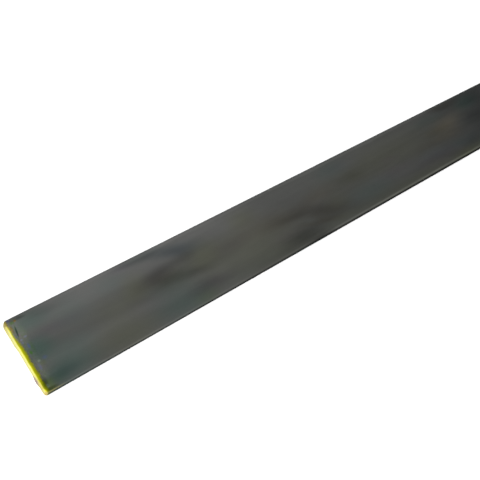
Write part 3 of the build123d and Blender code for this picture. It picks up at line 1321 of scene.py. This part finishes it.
@dataclass(frozen=True)
class BarFinish:
    """The whole surface of the bar: scale, bare cut metal, painted light and shade at the long corners and
    narrow edges, and the end's paint.

    Attributes:
        section: The rolled outline, for the corners' places.
        length: The bar's length in millimetres.
        scale: The mill scale.
        corners: The painted highlight on its near long corner and the painted shade on its narrow edges.
        cut: The bare metal on the cut faces.
        paint: The end's paint.
    """

    section: RolledSection
    length: float
    scale: MillScale = MillScale()
    corners: LongCorners = LongCorners()
    cut: CutSteel = CutSteel()
    paint: EndPaint = EndPaint()

    def material(self) -> bpy.types.Material:
        """Builds the material.

        Returns:
            The new material.
        """
        made = bpy.data.materials.new("mill_scale_with_end_paint")
        shading = Shading(made)
        at = Spot.of(shading)
        tone, colour = self.clouded(at)
        steel = shading.scaled(colour, tone)
        rough = self.scale.roughness + at.swing((24, 5, 5), 3, 7.1, 0.22)
        rough = rough + at.swing((0.9, 0.7, 0.7), 2, 2.3, 0.12)
        broad_face = abs(at.y).ramp(self.section.width / 2 - 0.3, self.section.width / 2 - 0.9)
        scaled = Surface(steel, rough, broad_face * self.scale.metallic)
        cut = self.cut_metal(at, scaled)
        painted = PaintedEnd(at, self.section, self.length, self.paint).lay(cut)
        grain = at.noise((0.55, 0.4, 0.4), 3, 1.7) * self.scale.grain_height
        rolled = at.noise((9.0, 1.1, 1.1), 2, 5.2) * self.scale.rolled_height
        height = (grain + rolled) * (1 - painted.thick_paint * 0.8)
        relief = {"Strength": self.scale.relief_shown, "Distance": MM, "Height": height}
        bump = shading.node("Bump", {}, relief)
        shader = shading.node(
            "BsdfPrincipled",
            {},
            {
                "Base Color": painted.colour,
                "Metallic": painted.metal,
                "Roughness": painted.rough,
                "Specular IOR Level": self.scale.specular,
                "Coat Weight": painted.thick_paint * self.paint.gloss,
                "Coat Roughness": self.paint.gloss_rough,
                "Normal": bump.outputs[0],
            },
        )
        shading.finish(shader)
        return made

    def drawn(self, at: Spot) -> bpy.types.NodeSocket:
        """What the placed marks and clouds change, each by its weight.

        The marks lie on the bar's own ground, and the clouds on ground that soft noise shifts a
        little. The marks come first, because the renderer can hold only so many values at once.

        Args:
            at: The point.

        Returns:
            The change in lightness and in the two colour casts, as Tint.change gives it.
        """
        shading = at.shading
        drift_x = at.swing((36, 17, 17), 2, 1.3, 8.0)
        drift_y = at.swing((24, 10, 10), 2, 2.9, 2.4)
        drift = shading.node("CombineXYZ", {}, {0: drift_x, 1: drift_y}).outputs[0]
        still = shading.times(at.place, (1.0, 1.0, 0.0))
        moved = shading.added(still, drift)
        drawn: Any = (0.0, 0.0, 0.0)
        for clouds, ground in ((MARKS, still), (CLOUDS, moved)):
            for cloud in clouds:
                change = cloud.tint.change(cloud.cast, cloud.shade)
                drawn = shading.added(drawn, shading.scaled(change, cloud.weight(shading, ground)))
        return drawn

    def clouded(self, at: Spot) -> tuple[Value, bpy.types.NodeSocket]:
        """The scale's lightness and colour.

        The placed clouds show on the top face as far as placed says; their broad zones also carry a
        painted light falloff and sheen. The rest of the bar gets clouds of the same kind from stretched
        noise. Beside the paint the scale is paler and mottled. Over all of it lie long streaks and a fine
        grain.

        Args:
            at: The point.

        Returns:
            The lightness as a factor, and the colour that it scales.
        """
        shading, y = at.shading, at.y
        top = at.z.ramp(self.section.thickness * 0.55, self.section.thickness * 0.95)
        shown = top * at.x.ramp(*self.scale.placed)
        drawn = self.drawn(at)
        wide = at.noise((46, 12, 30), 3, 3.7) - 0.5
        fine = at.noise((15, 4, 9), 2, 9.1) - 0.5
        loose = wide * 1.5 + fine * 0.5
        green = at.noise((38, 9, 22), 2, 12.5).ramp(0.5, 0.72) * (1 - shown)
        warm = at.noise((34, 10, 22), 2, 15.5).ramp(0.5, 0.72) * (1 - shown)
        inside = at.x + self.length / 2
        beside = (inside.ramp(7.5, 3.0) * 0.7 + inside.ramp(16.0, 4.0) * 0.3) * top
        lilac = at.noise((0.9, 1.1, 1.1), 2, 71.0).ramp(0.52, 0.62)
        leafy = at.noise((1.1, 1.3, 1.3), 2, 74.0).ramp(0.50, 0.64)
        mottled = at.swing((0.9, 1.2, 1.2), 2, 77.0, 0.7) + 0.46
        mottled = mottled + y.ramp(4.5, 7.5) * 0.22 + (y + 9.0).ramp(2.0, -1.0) * 0.16
        drawn = shading.scaled(drawn, shown)
        for tint, amount in (
            (Tint.TEAL, green * 0.7),
            (Tint.BROWN, warm * 0.8),
            (Tint.LILAC, beside * lilac * 0.55),
            (Tint.GREEN, beside * (leafy * 0.30 + 0.10 + y.ramp(-13.0, -15.0) * 0.4)),
        ):
            drawn = shading.added(drawn, shading.scaled(tint.change(), amount))
        shade, red, blue = shading.parts(drawn)
        tone = shade + (wide * 0.22 + fine * 0.14) * shown + loose * (1 - shown) + 1.0
        tone = tone + at.swing((130, 0.8, 0.8), 1, 4.4, 0.035)
        tone = tone + at.swing((60, 2.6, 2.6), 1, 6.4, 0.08)
        tone = tone + at.swing((0.8, 0.55, 0.55), 2, 8.8, 0.10)
        pale = beside * mottled * (y.ramp(-14.0, -12.5) * 0.55 + 0.45)
        tone = (tone + pale).at_least(self.scale.darkest)
        cast = shading.node("CombineXYZ", {}, {0: red.exponent(), 1: 1.0, 2: blue.exponent()})
        colour = shading.times(self.scale.colour, cast.outputs[0])
        return tone * self.edge_tone(at), colour

    def edge_tone(self, at: Spot) -> Value:
        """How the scale's lightness changes at the long corners and on the narrow edges.

        Places across an edge are counted outwards along the broad face and, three quarters as fast,
        down the narrow edge. A painted highlight, a light line, wanders from the corner onto the
        near side of the broad face: 1 plus e to the minus square of the distance in line widths. The
        narrow edges are darkened with painted shade, less so on the near one towards the paint.

        Args:
            at: The point.

        Returns:
            A factor, 1 on the broad faces.
        """
        x, corners = at.x, self.corners
        half_width, half = self.section.width / 2, self.section.thickness / 2
        near = at.y.ramp(0.0, -1.0)
        out = abs(at.y) + (half - abs(at.z - half)) * DOWN_THE_EDGE
        # Painted highlight: a light line beside the near long corner.
        line_place = half_width + 0.02 - x.ramp(*corners.wander_in) * corners.wander
        line_place = line_place - x.ramp(*corners.last_wander_in) * corners.last_wander
        away = ((out - line_place) / corners.line_width).power(2.0)
        broken = at.noise((9, 0.9, 0.9), 3, 21.0).ramp(0.25, 0.6) * 0.4 + 0.6
        along_corner = x.ramp(*corners.highlight_near_paint) * 0.75 + x.ramp(*corners.highlight_on) * 0.55 + 0.25
        line = (away * -1).exponent() * broken * near * along_corner
        # Painted shade on the narrow edges, lifted on the near one towards the paint.
        narrow_edge = out.ramp(line_place + 0.5, line_place + 1.2)
        lighter = x.ramp(*corners.lighter_near_paint) * 0.56
        lighter = lighter + x.ramp(*corners.lighter_before) * 0.24 - 0.04
        left = near * lighter + corners.shade
        return (1 + line) * (1 - narrow_edge * (1 - left))

    def cut_metal(self, at: Spot, scaled: Surface) -> Surface:
        """Puts sheared metal on the cut faces: a smooth scored band, and duller torn metal with rust.

        Args:
            at: The point.
            scaled: The surface under its scale.

        Returns:
            The surface with the cut faces bare.
        """
        shading, steel = at.shading, self.cut
        inside = self.length / 2 - abs(at.x)
        cut = inside.ramp(0.62, 0.30)
        torn = at.z.ramp(2.1, 2.5)
        scored = at.noise((3.0, 0.25, 6.0), 2, 31.0)
        smooth_metal = shading.scaled(steel.smooth, 0.75 + scored * 0.5)
        torn_metal = shading.scaled(steel.torn, 0.6 + at.noise((0.5, 0.5, 0.4), 3, 33.0) * 0.8)
        rust = at.noise((2.5, 2.5, 1.6), 3, 35.0).ramp(0.52, 0.68) * steel.rust_share
        bare = shading.blend(rust, shading.blend(torn, smooth_metal, torn_metal), steel.rust)
        colour = shading.blend(cut, scaled.colour, bare)
        rough = scaled.rough * (1 - cut) + (steel.smooth_rough + torn * steel.torn_rougher) * cut
        return Surface(colour, rough, scaled.metal * (1 - cut) + cut * steel.metallic)


# The room


@dataclass(frozen=True)
class Studio:
    """A pale floor and world with soft lamps.

    Attributes:
        floor_radius: In metres.
        floor_colour: What the bar and the lamps' light meet.
        floor_seen: The floor's lightness where it is looked at, straight or in a reflection.
        world_light: The strength of the sky as a light.
    """

    floor_radius: float = 1.5
    floor_colour: float = 0.8
    floor_seen: float = 1.5
    world_light: float = 0.60

    def floor(self) -> bpy.types.Object:
        """A flat disc under the bar, with points at radius times cosine and sine of evenly spaced angles.

        Returns:
            The floor's object.
        """
        angle = np.linspace(0, 2 * pi, 96, endpoint=False)
        rim = np.stack([np.cos(angle), np.sin(angle), np.zeros_like(angle)], 1) * self.floor_radius
        mesh = bpy.data.meshes.new("studio_floor")
        mesh.from_pydata(rim, [], [list(range(len(rim)))])
        floor = bpy.data.objects.new("studio_floor", mesh)
        bpy.context.scene.collection.objects.link(floor)
        mesh.materials.append(self.floor_material())
        return floor

    def looked_at(self, shading: Shading) -> Value:
        """Tells what is looked at from what only sends light.

        Args:
            shading: The tree that asks.

        Returns:
            1 for a ray from the camera, a gloss or a glass, and 0 for light on its way.
        """
        path = shading.node("LightPath")
        kinds = ("Camera", "Glossy", "Transmission")
        camera, glossy, clear = (Value(shading, path.outputs[f"Is {kind} Ray"]) for kind in kinds)
        return camera.at_least(glossy).at_least(clear)

    def floor_material(self) -> bpy.types.Material:
        """A matt pale floor that keeps shadows, and is clear from below.

        Returns:
            The new material.
        """
        made = bpy.data.materials.new("studio_floor")
        shading = Shading(made)
        seen = self.looked_at(shading)
        level = seen * (self.floor_seen - self.floor_colour) + self.floor_colour
        matt = shading.node("BsdfDiffuse", {}, {"Color": shading.scaled((1.0, 1.0, 1.0), level)})
        clear = shading.node("BsdfTransparent")
        below = shading.node("NewGeometry").outputs["Backfacing"]
        shader = shading.node("MixShader", {}, {0: below, 1: matt.outputs[0], 2: clear.outputs[0]})
        shading.finish(shader)
        return made

    def world(self) -> None:
        """A white sky that lights at world_light and shows as white."""
        world = bpy.data.worlds.new("studio_world")
        bpy.context.scene.world = world
        shading = Shading(world)
        seen = self.looked_at(shading)
        strength = seen * (1 - self.world_light) + self.world_light
        sky = shading.node("Background", {}, {"Color": (1.0, 1.0, 1.0), "Strength": strength})
        shading.finish(sky, "OutputWorld")

    def lamp(self, name: str, place: Triple, target: Triple, side: float, power: float) -> None:
        """Adds a square soft lamp.

        Args:
            name: The lamp's name.
            place: Where it hangs, in metres.
            target: What it points at.
            side: The length of its side, in metres.
            power: In watts.
        """
        data = bpy.data.lights.new(name, "AREA")
        data.shape, data.size, data.energy = "SQUARE", side, power
        lamp = bpy.data.objects.new(name, data)
        lamp.location = place
        aim = Vector(target) - Vector(place)
        lamp.rotation_euler = aim.to_track_quat("-Z", "Y").to_euler()
        bpy.context.scene.collection.objects.link(lamp)

    def build(self) -> None:
        """Makes the floor, the world and the lamps."""
        self.floor()
        self.world()
        self.lamp("key_lamp", place=(-1.0, -0.15, 0.9), target=(-0.45, 0.0, 0.0), side=0.8, power=6.5)
        self.lamp("fill_lamp", place=(0.5, -0.3, 1.3), target=(0.1, 0.0, 0.0), side=0.9, power=3.5)


@dataclass(frozen=True)
class Viewpoint:
    """The camera, aimed at a point on the bar's top face.

    Attributes:
        target: The point in metres.
        distance: From the target to the camera, in metres.
        heading: The direction that the camera looks in, from +X towards +Y, in degrees.
        elevation: How far it looks down, in degrees.
        roll: How far it is turned about its own axis, in degrees.
        lens: In millimetres, for a sensor 36 mm wide.
    """

    target: Triple = (-0.36974, 0.00111, 0.006)
    distance: float = 0.42291
    heading: float = 20.940
    elevation: float = 57.653
    roll: float = -37.637
    lens: float = 58.5

    def build(self) -> bpy.types.Object:
        """Makes the scene's camera.

        Returns:
            The camera.
        """
        heading, elevation, roll = map(radians, (self.heading, self.elevation, self.roll))
        ahead = Vector((cos(elevation) * cos(heading), cos(elevation) * sin(heading), -sin(elevation)))
        level = ahead.cross(Vector((0, 0, 1))).normalized()
        down = ahead.cross(level)
        right = level * cos(roll) + down * sin(roll)
        up = level * sin(roll) - down * cos(roll)
        data = bpy.data.cameras.new("camera")
        data.lens, data.sensor_width, data.clip_start = self.lens, 36.0, 0.01
        camera = bpy.data.objects.new("camera", data)
        turn = Matrix((right, up, -ahead)).transposed().to_4x4()
        camera.matrix_world = Matrix.Translation(Vector(self.target) - ahead * self.distance) @ turn
        bpy.context.scene.collection.objects.link(camera)
        bpy.context.scene.camera = camera
        return camera


def main() -> None:
    """Builds the camera, the room and the bar, in that order."""
    scene = bpy.context.scene
    scene.view_settings.view_transform = "Standard"
    Viewpoint().build()
    Studio().build()
    low, high = (np.array(corner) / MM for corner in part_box(NODE))
    length, width, thickness = high - low
    section = RolledSection(width=round(width, 1), thickness=thickness)
    painted_end = ShearedEnd(section, seed=21)
    plain_end = ShearedEnd(section, seed=57, burr_place=7.5, square_from=13.0)
    skin = BarSkin(section, length, painted_end, plain_end).build()
    skin.data.materials.append(BarFinish(section, length).material())
    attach(skin, "root")
    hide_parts(NODE)
    log.info("%s: %d faces", skin.name, len(skin.data.polygons))


if __name__ == "__main__":
    logging.basicConfig(level=logging.INFO)
    main()
